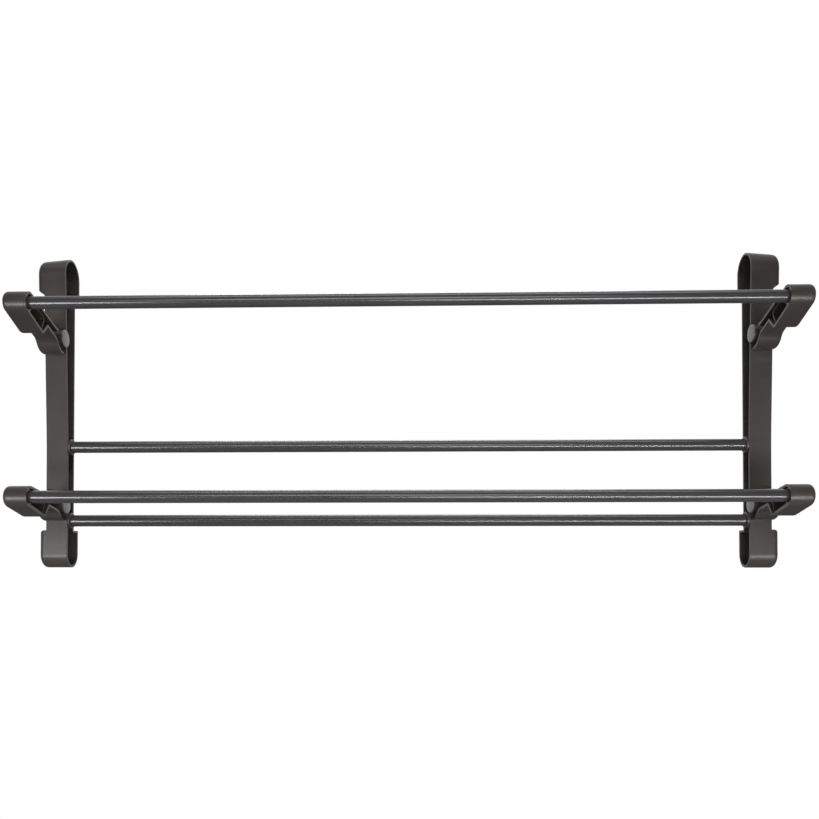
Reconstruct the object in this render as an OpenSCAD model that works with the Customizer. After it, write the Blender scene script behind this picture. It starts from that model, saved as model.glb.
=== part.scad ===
// Folding luggage rack for a wall: two moulded uprights, two fixed rear rails, and two
// front rails that swing on pairs of arms. Units are millimetres.
// +X is to the right, +Y runs into the wall, +Z is up. The wall is the plane Y = 0 and the
// origin is the middle of the four wall screw holes. Side sketches are drawn in a plane
// whose first axis is the distance out from the wall and whose second axis is the height.

/* [Overall] */
// Width over the outer faces of the feet
rack_width = 802; // [560:1:1200]
// Height of the uprights
rack_height = 342; // [316:1:460]

/* [Uprights] */
// Width of the two feet of an upright
foot_width = 31; // [29:0.5:36]
// Height of each foot, up to the step where the upright narrows
foot_height = 41; // [38:0.5:48]
// Width of the upright between its feet
web_width = 23.5; // [21:0.5:24]
// Depth of the upright at its lower foot, from the wall to its front
lower_depth = 30; // [28:0.5:34]
// Gap between the wall and the back of the upright, between the feet
wall_gap = 12; // [6:0.5:13]
// Forward lean of the upper part of the upright, in degrees
lean = 2.9; // [0.5:0.1:4]
// Height above the bottom where the lean starts
bend_rise = 135; // [120:1:150]
// Wall thickness of the uprights
upright_wall = 2.5; // [1.8:0.1:3]

/* [Wall screws] */
// Diameter of the wall screw holes
wall_hole_d = 5.5; // [3.5:0.1:6.5]
// Distance of each wall screw hole from the end of the upright
wall_hole_inset = 29; // [27:0.5:32]
// Distance of each wall screw hole from the outer side of the upright
wall_hole_side = 11.5; // [10:0.1:13]

/* [Rails] */
// Outside diameter of the rail tubes
rail_d = 12.7; // [10:0.1:14]
// Wall thickness of the rail tubes
rail_wall = 1.2; // [0.8:0.1:2]
// Height of the lower rear rail above the bottom
lower_rear_rise = 51.7; // [50:0.1:54]
// Height of the upper rear rail above the bottom
upper_rear_rise = 133.3; // [90:0.1:170]

/* [Arms] */
// Distance from the hinge pin to the front rail
arm_reach = 81; // [70:0.5:88]
// Set-back of the arm's inner face from the upright's inner face
arm_inset = 1.5; // [0.5:0.1:3]
// Outside radius of the arm around its front rail
head_r = 11; // [10.5:0.1:12]
// Outside radius of the arm around its hinge pin
lobe_r = 16.4; // [15.5:0.1:17]
// Slope of the arm's upper edge against the line from pin to rail, in degrees
upper_slope = 6.6; // [5.5:0.1:7.5]
// Slope of the arm's lower edge against the same line, in degrees
lower_slope = 10.8; // [9:0.1:12]
// Distance from the hinge pin to the notch behind the heel
notch_reach = 38.3; // [34:0.1:42]
// Depth of the notch corner below the line from pin to rail
notch_drop = 5.3; // [4.8:0.1:6]
// Radius of the heel
heel_r = 6; // [4.5:0.5:7]
// Wall thickness of the arms
arm_wall = 2.4; // [1.8:0.1:2.6]

/* [Hinges] */
// Height of the lower hinge pins above the bottom
lower_pivot_rise = 68.1; // [66:0.1:72]
// Drop of the upper hinge pins below the top
upper_pivot_drop = 92.4; // [88:0.1:110]
// Distance of the hinge pins in front of the upright's front face
pivot_ahead = 3.3; // [2.8:0.1:4]
// Angle of an open arm resting on its stop, above level, in degrees
open_tilt = 2.4; // [0:0.1:8]
// Angle at which the upper arms stand, above level, in degrees
upper_tilt = 10.7; // [8:0.1:60]
// Diameter of the hinge pins
pin_d = 6; // [5:0.1:7]
// Radius of the upright's hinge ears
ear_r = 9.4; // [8.8:0.1:9.8]

/* [Fits] */
// Radial clearance of the arms on their hinge pins
pin_clearance = 0.05; // [0.02:0.01:0.1]
// Radial clearance of rails, pins and plugs in the parts that hold them
seat_clearance = 0.03; // [0.01:0.01:0.1]
// Gap between parts that move past each other
running_gap = 0.3; // [0.2:0.05:0.5]

/* [Hidden] */

$fn = 64;
plastic_colour = [0.16, 0.15, 0.14];
rail_colour = [0.24, 0.24, 0.25];
steel_colour = [0.6, 0.6, 0.62];
nylon_colour = [0.85, 0.85, 0.82];
// Cutters run this far past the faces that they cut
over = 1;
// Solids joined in one node overlap by this much
merge = 0.05;
// Gap under a head or a nut that holds a moving part
seat_gap = 0.1;
// Radial slack of holes that only pass a shank, and of recesses for screw heads
shank_slack = 0.2;
head_slack = 0.4;

// Places across the rack, on the right-hand side
outer_x = rack_width / 2;
inner_x = outer_x - foot_width;
web_outer_x = inner_x + web_width;
arm_inner_x = inner_x + arm_inset;

// Heights
half_height = rack_height / 2;
foot_step_z = half_height - foot_height;
wall_hole_z = half_height - wall_hole_inset;
lower_rear_z = lower_rear_rise - half_height;
upper_rear_z = upper_rear_rise - half_height;
lower_pivot_z = lower_pivot_rise - half_height;
upper_pivot_z = half_height - upper_pivot_drop;

// The upright's front face: straight, one wide bend, then straight again
bend_r = 600;
bend_steps = 6;
bend_d = lower_depth + bend_r;
bend_z = bend_rise - half_height - bend_r * tan(lean / 2);
lean_d = bend_d - bend_r * cos(lean);
lean_z = bend_z + bend_r * sin(lean);
lower_r = lower_depth / 2;
upper_r = (lean_d * cos(lean) + (half_height - lean_z) * sin(lean))
    / (1 + cos(lean) + sin(lean));
lower_centre = [lower_r, lower_r - half_height];
upper_centre = [upper_r, half_height - upper_r];
function front_depth(z) = lean_d + (z - lean_z) * tan(lean);

// Hinges
lower_pivot = [lower_depth + pivot_ahead, lower_pivot_z];
upper_pivot = [front_depth(upper_pivot_z) + pivot_ahead / cos(lean), upper_pivot_z];
pin_r = pin_d / 2;
washer_t = 0.8;
washer_r = 8.5;
cheek_inner_x = web_outer_x + running_gap;
arm_outer_x = cheek_inner_x + arm_wall;
hub_inner_x = web_outer_x + washer_t + 2 * seat_gap;
cheek_step = 0.6;
cheek_r = lobe_r + cheek_step;
washer_pocket_r = washer_r + shank_slack;
pin_head_r = 6;
pin_head_t = 2;
pin_tail = 1.4;
nut_r = 6.2;
nut_t = 0.8;
cap_pocket_r = 7;
cap_pocket_t = 4;
cap_skirt_t = 2.4;
cap_skirt_wall = 1.1;
cap_t = 1.6;
cap_crown = 0.5;
cap_bevel = 0.35;
cap_r = ear_r - 0.1;
pin_end_x = inner_x + cap_pocket_t - nut_t - pin_tail;
folded_tilt = 90 - upper_slope;

// Rails and what holds them
rail_r = rail_d / 2;
bore_r = rail_r + seat_clearance;
boss_wall = 2.5;
boss_r = rail_r + boss_wall;
boss_proud = 2.2;
rear_rail_d = (wall_gap + lower_depth) / 2;
socket_wall = 2;
socket_r = rail_r + socket_wall;
socket_recess = 2;
floor_t = 3;
screw_head_r = 4;
screw_head_t = 2.2;
screw_shank_r = 1.9;
screw_length = 14;
screw_recess_t = 2.5;
plug_length = 14;
end_gap = 0.2;
rear_floor_x = web_outer_x - screw_recess_t - floor_t;
front_floor_x = arm_outer_x - screw_recess_t - floor_t;

// The arm's outline, in a sketch with the pin at its origin and the rail on its first axis
head_centre = [arm_reach, 0];
notch_slope = 52;
neck_slope = 8;
neck_fillet_r = 12;
arc_step = 6;
rib_inset = 4.2;
rib_wall = 1.2;
rib_heel_r = 3;
rib_back = [47.9, -0.6];
rib_back_r = 4;
upper_normal = [-sin(upper_slope), cos(upper_slope)];
lower_normal = [sin(lower_slope), -cos(lower_slope)];
notch_normal = [-sin(notch_slope), -cos(notch_slope)];
neck_normal = [sin(neck_slope), -cos(neck_slope)];
notch = [notch_reach, -notch_drop];
upper_k = head_centre * upper_normal + head_r;
lower_k = head_centre * lower_normal + head_r;
notch_k = notch * notch_normal;
neck_k = notch * neck_normal;

// Where the lines p * n1 = k1 and p * n2 = k2 cross
function crossing(n1, k1, n2, k2) = let (det = n1[0] * n2[1] - n1[1] * n2[0])
    [(k1 * n2[1] - k2 * n1[1]) / det, (n1[0] * k2 - n2[0] * k1) / det];
function heel_centre() =
    crossing(lower_normal, lower_k - heel_r, notch_normal, notch_k - heel_r);
function polar(r, a) = [r * cos(a), r * sin(a)];
// Points on an arc, one about every arc_step degrees
function arc(centre, r, from_a, to_a) =
    let (steps = ceil(abs(to_a - from_a) / arc_step))
    [for (i = [0:steps]) centre + polar(r, from_a + (to_a - from_a) * i / steps)];
function angle_of(p) = atan2(p[1], p[0]);

// Turns a side sketch into a slab that reaches from x_low to x_high
module slab(x_low, x_high) {
    translate([x_high, 0, 0])
        rotate([90, 0, -90])
            linear_extrude(x_high - x_low)
                children();
}

// A round bar along X at the sketch point p
module bar(p, r, x_low, x_high) {
    translate([x_low, -p[0], p[1]])
        rotate([0, 90, 0])
            cylinder(r = r, h = x_high - x_low);
}

// Both sides of the rack, one mirrored
module on_side(side) {
    if (side == "left") mirror([1, 0, 0]) children();
    else children();
}

module both_sides() {
    children();
    mirror([1, 0, 0]) children();
}

// ---------------------------------------------------------------- uprights

// The upright seen from its side, drawn in by inset
module upright_outline(inset) {
    back = wall_gap + inset;
    step = foot_step_z + inset;
    front = [for (i = [0:bend_steps])
        let (a = lean * i / bend_steps)
        [bend_d - (bend_r + inset) * cos(a), bend_z + (bend_r + inset) * sin(a)]];
    top_front = upper_centre + (upper_r - inset) * [cos(lean), -sin(lean)];
    polygon(concat(
        [[lower_depth - inset, lower_centre[1]]],
        front,
        [top_front, upper_centre, [inset, upper_centre[1]]],
        [[inset, step], [back, step], [back, -step], [inset, -step]],
        [[inset, lower_centre[1]]]
    ));
    translate(upper_centre) circle(r = upper_r - inset);
    translate(lower_centre) circle(r = lower_r - inset);
}

// The part of a side sketch that lies beyond the steps of the feet
module feet_only(inset) {
    step = foot_step_z + inset;
    reach = half_height + over;
    intersection() {
        children();
        union() {
            translate([-over, step]) square([2 * lower_depth, reach - step]);
            translate([-over, -reach]) square([2 * lower_depth, reach - step]);
        }
    }
}

// One hinge ear, from the upright's inner face to its outer face
module ear(pivot) {
    bar(pivot, ear_r, inner_x, web_outer_x);
}

module ear_bores(pivot) {
    bar(pivot, pin_r + seat_clearance, inner_x, web_outer_x + over);
    bar(pivot, cap_pocket_r + seat_clearance, inner_x - over, inner_x + cap_pocket_t);
}

module rail_boss_bores(p) {
    bar(p, bore_r, inner_x - boss_proud - over, rear_floor_x);
    bar(p, screw_shank_r + shank_slack, rear_floor_x - over, web_outer_x);
    bar(p, screw_head_r + head_slack, web_outer_x - screw_recess_t, web_outer_x + over);
}

module upright() {
    color(plastic_colour)
        difference() {
            union() {
                difference() {
                    union() {
                        slab(inner_x, web_outer_x) upright_outline(0);
                        slab(inner_x, outer_x) feet_only(0) upright_outline(0);
                    }
                    slab(inner_x - over, web_outer_x - upright_wall)
                        upright_outline(upright_wall);
                    slab(inner_x - over, outer_x - upright_wall)
                        feet_only(upright_wall) upright_outline(upright_wall);
                }
                ear(lower_pivot);
                ear(upper_pivot);
                for (z = [lower_rear_z, upper_rear_z])
                    bar([rear_rail_d, z], boss_r, inner_x - boss_proud, web_outer_x);
            }
            ear_bores(lower_pivot);
            ear_bores(upper_pivot);
            for (z = [lower_rear_z, upper_rear_z])
                rail_boss_bores([rear_rail_d, z]);
            for (z = [-wall_hole_z, wall_hole_z])
                translate([outer_x - wall_hole_side, over, z])
                    rotate([90, 0, 0])
                        cylinder(d = wall_hole_d, h = upright_wall + 2 * over);
        }
}

// ---------------------------------------------------------------- arms

// The arm seen from its side, drawn in by inset
module arm_outline(inset, lobe) {
    corner = crossing(notch_normal, notch_k - inset, neck_normal, neck_k - inset);
    fillet_out = neck_k + neck_fillet_r;
    fillet_along = sqrt(pow(lobe + neck_fillet_r, 2) - pow(fillet_out, 2));
    fillet = fillet_out * neck_normal + fillet_along * polar(1, neck_slope);
    upper_start = angle_of(upper_normal) - acos((upper_k - inset) / (lobe - inset));
    polygon(concat(
        arc([0, 0], lobe - inset, upper_start, 360 + angle_of(fillet)),
        arc(fillet, neck_fillet_r + inset, angle_of(-fillet), angle_of(-neck_normal)),
        [corner],
        arc(heel_centre(), heel_r - inset, angle_of(notch_normal), angle_of(lower_normal)),
        arc(head_centre, head_r - inset, angle_of(lower_normal), angle_of(upper_normal))
    ));
}

// The space in front of the upright, left free at every angle from open to folded
module swing_wedge() {
    stand_off = pivot_ahead - running_gap;
    open_normal = [-cos(open_tilt), sin(open_tilt)];
    folded_normal = [-cos(folded_tilt), sin(folded_tilt)];
    apex = crossing(open_normal, stand_off, folded_normal, stand_off);
    far = 2 * arm_reach;
    polygon([
        apex,
        apex + far * [-sin(open_tilt), -cos(open_tilt)],
        [far, -far],
        [far, far],
        apex + far * [sin(folded_tilt), cos(folded_tilt)],
    ]);
}

// The outline of a band pulled tight around round posts, each [centre, radius], taken
// anticlockwise
module banded(posts) {
    last = len(posts) - 1;
    polygon([for (i = [0:last])
        let (
            a = posts[i],
            b = posts[i == last ? 0 : i + 1],
            away = angle_of(b[0] - a[0]) - acos((a[1] - b[1]) / norm(b[0] - a[0]))
        )
        for (post = [a, b]) post[0] + polar(post[1], away)]);
    for (post = posts)
        translate(post[0]) circle(r = post[1]);
}

// The stiffening rib inside the arm: a closed loop from the heel to the rail socket
module rib_outline(inset) {
    banded([
        [heel_centre(), rib_heel_r - inset],
        [head_centre, head_r - rib_inset - inset],
        [rib_back, rib_back_r - inset],
    ]);
}

// One arm, with its hinge pin at the origin of its sketch and its rail level with the pin
module level_arm() {
    difference() {
        union() {
            difference() {
                union() {
                    intersection() {
                        slab(arm_inner_x, cheek_inner_x) arm_outline(0, lobe_r);
                        slab(arm_inner_x - over, cheek_inner_x + over) swing_wedge();
                    }
                    slab(cheek_inner_x, arm_outer_x) arm_outline(0, cheek_r);
                }
                slab(arm_inner_x - over, cheek_inner_x) arm_outline(arm_wall, lobe_r);
                bar([0, 0], ear_r + 2 * running_gap, arm_inner_x - over, cheek_inner_x);
            }
            difference() {
                slab(arm_inner_x + socket_recess, cheek_inner_x + merge) rib_outline(0);
                slab(arm_inner_x, cheek_inner_x) rib_outline(rib_wall);
            }
            bar(head_centre, socket_r, arm_inner_x + socket_recess, arm_outer_x);
        }
        bar([0, 0], pin_r + pin_clearance, cheek_inner_x - over, arm_outer_x + over);
        bar([0, 0], washer_pocket_r, cheek_inner_x - over, hub_inner_x);
        bar(head_centre, bore_r, arm_inner_x, front_floor_x);
        bar(head_centre, screw_shank_r + shank_slack, front_floor_x - over, arm_outer_x);
        bar(head_centre, screw_head_r + head_slack, arm_outer_x - screw_recess_t,
            arm_outer_x + over);
    }
}

module arm(pivot, tilt) {
    color(plastic_colour)
        translate([0, -pivot[0], pivot[1]])
            rotate([-tilt, 0, 0])
                level_arm();
}

// ---------------------------------------------------------------- hinge hardware

module hinge_pin(pivot) {
    low = arm_outer_x + seat_gap;
    color(steel_colour) {
        bar(pivot, pin_r, pin_end_x, low + merge);
        bar(pivot, pin_head_r, low, low + pin_head_t);
    }
}

module washer(pivot) {
    low = web_outer_x + seat_gap;
    color(steel_colour)
        difference() {
            bar(pivot, washer_r, low, low + washer_t);
            bar(pivot, pin_r + shank_slack, low - over, low + washer_t + over);
        }
}

module push_nut(pivot) {
    low = inner_x + cap_pocket_t - seat_gap - nut_t;
    color(steel_colour)
        difference() {
            bar(pivot, nut_r, low, low + nut_t);
            bar(pivot, pin_r + seat_clearance, low - over, low + nut_t + over);
        }
}

// A crowned disc with a skirt that plugs the pocket in the ear
module cap(pivot) {
    bore = cap_pocket_r - cap_skirt_wall;
    color(plastic_colour)
        translate([inner_x - seat_gap / 2, -pivot[0], pivot[1]])
            rotate([0, -90, 0])
                rotate_extrude()
                    polygon([
                        [0, 0],
                        [bore, 0],
                        [bore, -cap_skirt_t],
                        [cap_pocket_r, -cap_skirt_t],
                        [cap_pocket_r, 0],
                        [cap_r, 0],
                        [cap_r, cap_t - cap_crown - cap_bevel],
                        [cap_r - cap_bevel, cap_t - cap_crown],
                        [cap_r * 0.6, cap_t - cap_crown * 0.3],
                        [0, cap_t],
                    ]);
}

// ---------------------------------------------------------------- rails

function arm_head(pivot, tilt) = pivot + polar(arm_reach, tilt);
upper_front = arm_head(upper_pivot, upper_tilt);
lower_front = arm_head(lower_pivot, open_tilt);
upper_rear = [rear_rail_d, upper_rear_z];
lower_rear = [rear_rail_d, lower_rear_z];

module rail(p, floor_x) {
    end_x = floor_x - end_gap;
    color(rail_colour)
        difference() {
            bar(p, rail_r, -end_x, end_x);
            bar(p, rail_r - rail_wall, -end_x - over, end_x + over);
        }
}

// The plugs in both ends of a rail, each with a pilot hole for its screw
module plugs(p, floor_x) {
    end_x = floor_x - end_gap;
    color(nylon_colour)
        both_sides()
            difference() {
                bar(p, rail_r - rail_wall - seat_clearance, end_x - plug_length, end_x);
                bar(p, screw_shank_r + seat_clearance, end_x - plug_length - over, end_x + over);
            }
}

// The pan-head screws that hold both ends of a rail
module screws(p, floor_x) {
    seat_x = floor_x + floor_t;
    color(steel_colour)
        both_sides() {
            bar(p, screw_shank_r, seat_x - screw_length, seat_x + merge);
            bar(p, screw_head_r, seat_x, seat_x + screw_head_t);
        }
}

module left_upright() { on_side("left") upright(); }
module right_upright() { on_side("right") upright(); }

left_upright();
right_upright();
rail(upper_rear, rear_floor_x);  // upper_rear_rail
rail(lower_rear, rear_floor_x);  // lower_rear_rail
rail(upper_front, front_floor_x);  // upper_front_rail
rail(lower_front, front_floor_x);  // lower_front_rail
for (side = ["left", "right"]) {
    on_side(side) arm(upper_pivot, upper_tilt);
    on_side(side) arm(lower_pivot, open_tilt);
    on_side(side) hinge_pin(upper_pivot);
    on_side(side) hinge_pin(lower_pivot);
    on_side(side) washer(upper_pivot);
    on_side(side) washer(lower_pivot);
    on_side(side) push_nut(upper_pivot);
    on_side(side) push_nut(lower_pivot);
    on_side(side) cap(upper_pivot);
    on_side(side) cap(lower_pivot);
}
plugs(upper_rear, rear_floor_x);  // upper_rear_plugs
plugs(lower_rear, rear_floor_x);  // lower_rear_plugs
plugs(upper_front, front_floor_x);  // upper_front_plugs
plugs(lower_front, front_floor_x);  // lower_front_plugs
screws(upper_rear, rear_floor_x);  // upper_rear_screws
screws(lower_rear, rear_floor_x);  // lower_rear_screws
screws(upper_front, front_floor_x);  // upper_front_screws
screws(lower_front, front_floor_x);  // lower_front_screws
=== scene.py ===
"""A wall rack for luggage with two fixed rear rails and two front rails that fold up flat.

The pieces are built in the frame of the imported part: +X along the rails, +Y into the wall, +Z up.
Sizes are in millimetres until a piece is finished; its mesh is then scaled to metres. A side
sketch has the distance out from the wall, or from a hinge pin, as its first axis and the height
as its second.
"""

import logging
from collections.abc import Iterable
from dataclasses import dataclass, field
from enum import Enum
from math import acos, atan2, ceil, cos, hypot, pi, radians, sin, sqrt, tan

import bmesh
import bpy
from mathutils import Matrix, Vector


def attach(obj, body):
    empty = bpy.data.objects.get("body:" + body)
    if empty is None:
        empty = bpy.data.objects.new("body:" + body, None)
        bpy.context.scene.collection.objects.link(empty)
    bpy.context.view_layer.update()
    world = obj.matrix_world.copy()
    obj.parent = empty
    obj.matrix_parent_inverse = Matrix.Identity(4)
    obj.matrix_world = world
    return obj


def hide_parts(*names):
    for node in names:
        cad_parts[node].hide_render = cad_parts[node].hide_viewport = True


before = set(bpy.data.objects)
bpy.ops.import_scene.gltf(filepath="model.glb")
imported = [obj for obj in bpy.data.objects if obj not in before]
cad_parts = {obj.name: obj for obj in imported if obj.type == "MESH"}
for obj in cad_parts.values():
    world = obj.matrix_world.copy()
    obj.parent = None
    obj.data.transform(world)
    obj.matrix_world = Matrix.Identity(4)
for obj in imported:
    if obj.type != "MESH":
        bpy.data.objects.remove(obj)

log = logging.getLogger("rack")
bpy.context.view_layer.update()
MM = 0.001
ARC_STEP = radians(5)
Point = tuple[float, float]


# ------------------------------------------------------------------ named options


class Side(Enum):
    """The half of the rack that a piece belongs to, with the sign of its X."""

    LEFT = -1
    RIGHT = 1


class Level(Enum):
    """The upper or the lower pair of arms, with the body that they move with."""

    UPPER = "upper_rack"
    LOWER = "lower_rack"

    @property
    def word(self) -> str:
        """The level's name as it stands in node names."""
        return self.name.lower()


# ------------------------------------------------------------------ sizes of the whole rack


@dataclass(frozen=True)
class Sizes:
    """Places and sizes that more than one sub-assembly needs, in millimetres and degrees."""

    outer_x: float = 401.0
    inner_x: float = 370.0
    web_x: float = 393.5
    arm_x: float = 396.2
    half_height: float = 171.0
    foot_step: float = 130.0
    rail_r: float = 6.35
    rail_slack: float = 0.03
    screw_hole_r: float = 2.1
    recess_r: float = 4.4
    recess_depth: float = 2.5
    lower_pivot: Point = (33.3, -102.9)
    upper_pivot: Point = (39.11, 78.6)
    lower_tilt: float = 2.4
    upper_tilt: float = 10.7
    arm_reach: float = 81.0
    rear_rail_d: float = 21.0
    rear_rail_heights: Point = (-37.7, -119.3)

    def pivot(self, level: Level) -> Point:
        """The hinge pin's place in the side sketch."""
        return self.upper_pivot if level is Level.UPPER else self.lower_pivot

    def tilt(self, level: Level) -> float:
        """The angle at which a pair of arms stands, above level, in radians."""
        return radians(self.upper_tilt if level is Level.UPPER else self.lower_tilt)

    def front_rail(self, level: Level) -> Point:
        """The front rail's axis in the side sketch."""
        pivot, tilt = self.pivot(level), self.tilt(level)
        return (pivot[0] + self.arm_reach * cos(tilt), pivot[1] + self.arm_reach * sin(tilt))


SIZES = Sizes()


# ------------------------------------------------------------------ shader node groups


def new_group(name: str, inputs: dict[str, float | tuple], outputs: dict[str, str]) -> tuple:
    """Starts a shader node group.

    Args:
        name: The group's name.
        inputs: Each input's name and default; a tuple makes a colour socket.
        outputs: Each output's name and socket type.

    Returns:
        The group's tree, its input node and its output node.
    """
    tree = bpy.data.node_groups.new(name, "ShaderNodeTree")
    for label, value in inputs.items():
        kind = "NodeSocketColor" if isinstance(value, tuple) else "NodeSocketFloat"
        tree.interface.new_socket(label, in_out="INPUT", socket_type=kind).default_value = value
    for label, kind in outputs.items():
        tree.interface.new_socket(label, in_out="OUTPUT", socket_type=kind)
    return tree, tree.nodes.new("NodeGroupInput"), tree.nodes.new("NodeGroupOutput")


def add_node(tree: bpy.types.NodeTree, kind: str, links: dict | None = None, **settings):
    """Adds a node, sets it up and links its inputs.

    Args:
        tree: The tree that takes the node.
        kind: The node's type.
        links: Input name or number to the socket that feeds it, or to a plain value.
        **settings: Properties of the node.

    Returns:
        The new node.
    """
    node = tree.nodes.new(kind)
    for key, value in settings.items():
        setattr(node, key, value)
    for key, value in (links or {}).items():
        if isinstance(value, bpy.types.NodeSocket):
            tree.links.new(value, node.inputs[key])
        else:
            node.inputs[key].default_value = value
    return node


def scaled_noise(tree: bpy.types.NodeTree, coords, scale, detail: float, stretch=(1, 1, 1)):
    """Noise on object coordinates, stretched along the axes.

    Args:
        tree: The tree that takes the nodes.
        coords: The coordinates' socket.
        scale: The noise's scale, a number or a socket.
        detail: The noise's detail.
        stretch: Factors on the three axes.

    Returns:
        The noise's value socket.
    """
    mapping = add_node(tree, "ShaderNodeMapping", {"Vector": coords, "Scale": stretch})
    links = {"Vector": mapping.outputs[0], "Scale": scale, "Detail": detail}
    return add_node(tree, "ShaderNodeTexNoise", links).outputs["Fac"]


def ranged(tree: bpy.types.NodeTree, value, low: float, high: float, to_low, to_high):
    """Maps a value from one range to another and clamps it.

    Args:
        tree: The tree that takes the node.
        value: The socket to map.
        low: Value that becomes to_low.
        high: Value that becomes to_high.
        to_low: Result at low, a number or a socket.
        to_high: Result at high, a number or a socket.

    Returns:
        The mapped socket.
    """
    links = {"Value": value, "From Min": low, "From Max": high, "To Min": to_low, "To Max": to_high}
    return add_node(tree, "ShaderNodeMapRange", links).outputs["Result"]


def mixed(tree: bpy.types.NodeTree, factor, first, second):
    """Mixes two colours.

    Args:
        tree: The tree that takes the node.
        factor: The share of the second colour.
        first: The first colour.
        second: The second colour.

    Returns:
        The mixed colour's socket.
    """
    node = tree.nodes.new("ShaderNodeMix")
    node.data_type = "RGBA"
    for key, value in ((0, factor), (6, first), (7, second)):
        if isinstance(value, bpy.types.NodeSocket):
            tree.links.new(value, node.inputs[key])
        else:
            node.inputs[key].default_value = value
    return node.outputs[2]


def grain_group() -> bpy.types.NodeTree:
    """The fine pitted skin of a moulding or a sprayed coat.

    Returns:
        A group that puts out a height and a roughness.
    """
    inputs = {"Grain scale": 2500.0, "Roughness": 0.4, "Roughness spread": 0.1}
    outputs = {"Height": "NodeSocketFloat", "Roughness": "NodeSocketFloat"}
    tree, start, end = new_group("fine_grain", inputs, outputs)
    coords = add_node(tree, "ShaderNodeTexCoord").outputs["Object"]
    fine = scaled_noise(tree, coords, start.outputs["Grain scale"], 2.0)
    links = {"Vector": coords, "Scale": start.outputs["Grain scale"]}
    pits = add_node(tree, "ShaderNodeTexVoronoi", links, feature="SMOOTH_F1").outputs["Distance"]
    height = add_node(tree, "ShaderNodeMath", {0: fine, 1: pits}, operation="ADD").outputs[0]
    broad = scaled_noise(tree, coords, 22.0, 4.0)
    half = add_node(
        tree, "ShaderNodeMath", {0: broad, 1: -0.5}, operation="ADD"
    ).outputs[0]
    spread = add_node(
        tree, "ShaderNodeMath", {0: half, 1: start.outputs["Roughness spread"]},
        operation="MULTIPLY",
    ).outputs[0]
    total = add_node(
        tree, "ShaderNodeMath", {0: spread, 1: start.outputs["Roughness"]},
        operation="ADD", use_clamp=True,
    ).outputs[0]
    tree.links.new(height, end.inputs["Height"])
    tree.links.new(total, end.inputs["Roughness"])
    return tree


def tone_group() -> bpy.types.NodeTree:
    """Slow drift of a colour over a piece, with faint flow lines and a little dust.

    Returns:
        A group that puts out a colour.
    """
    inputs = {
        "Colour": (0.1, 0.1, 0.1, 1.0), "Second colour": (0.12, 0.12, 0.12, 1.0),
        "Dust colour": (0.4, 0.38, 0.35, 1.0), "Dust": 0.05, "Patch scale": 14.0,
    }
    tree, start, end = new_group("tone_drift", inputs, {"Colour": "NodeSocketColor"})
    coords = add_node(tree, "ShaderNodeTexCoord").outputs["Object"]
    patches = scaled_noise(tree, coords, start.outputs["Patch scale"], 3.0)
    flow = scaled_noise(tree, coords, 30.0, 2.0, (1.0, 1.0, 0.25))
    both = add_node(tree, "ShaderNodeMath", {0: patches, 1: flow}, operation="MULTIPLY").outputs[0]
    drift = ranged(tree, both, 0.14, 0.4, 0.0, 1.0)
    base = mixed(tree, drift, start.outputs["Colour"], start.outputs["Second colour"])
    specks = ranged(tree, scaled_noise(tree, coords, 900.0, 3.0), 0.62, 0.8, 0.0, 1.0)
    dusty = add_node(
        tree, "ShaderNodeMath", {0: specks, 1: start.outputs["Dust"]}, operation="MULTIPLY"
    ).outputs[0]
    tree.links.new(mixed(tree, dusty, base, start.outputs["Dust colour"]), end.inputs["Colour"])
    return tree


def wear_group() -> bpy.types.NodeTree:
    """Fine rubbed lines in patches, as on parts that are handled and turned.

    Returns:
        A group that puts out a mask.
    """
    inputs = {"Amount": 0.3, "Line scale": 160.0}
    tree, start, end = new_group("rubbed_lines", inputs, {"Mask": "NodeSocketFloat"})
    coords = add_node(tree, "ShaderNodeTexCoord").outputs["Object"]
    lines = scaled_noise(tree, coords, start.outputs["Line scale"], 3.0, (0.08, 1.0, 1.0))
    fine = ranged(tree, lines, 0.56, 0.7, 0.0, 1.0)
    patch = ranged(tree, scaled_noise(tree, coords, 35.0, 2.0), 0.45, 0.65, 0.0, 1.0)
    mask = add_node(tree, "ShaderNodeMath", {0: fine, 1: patch}, operation="MULTIPLY").outputs[0]
    amount = add_node(
        tree, "ShaderNodeMath", {0: mask, 1: start.outputs["Amount"]}, operation="MULTIPLY"
    ).outputs[0]
    tree.links.new(amount, end.inputs["Mask"])
    return tree


# ------------------------------------------------------------------ finishes


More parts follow.
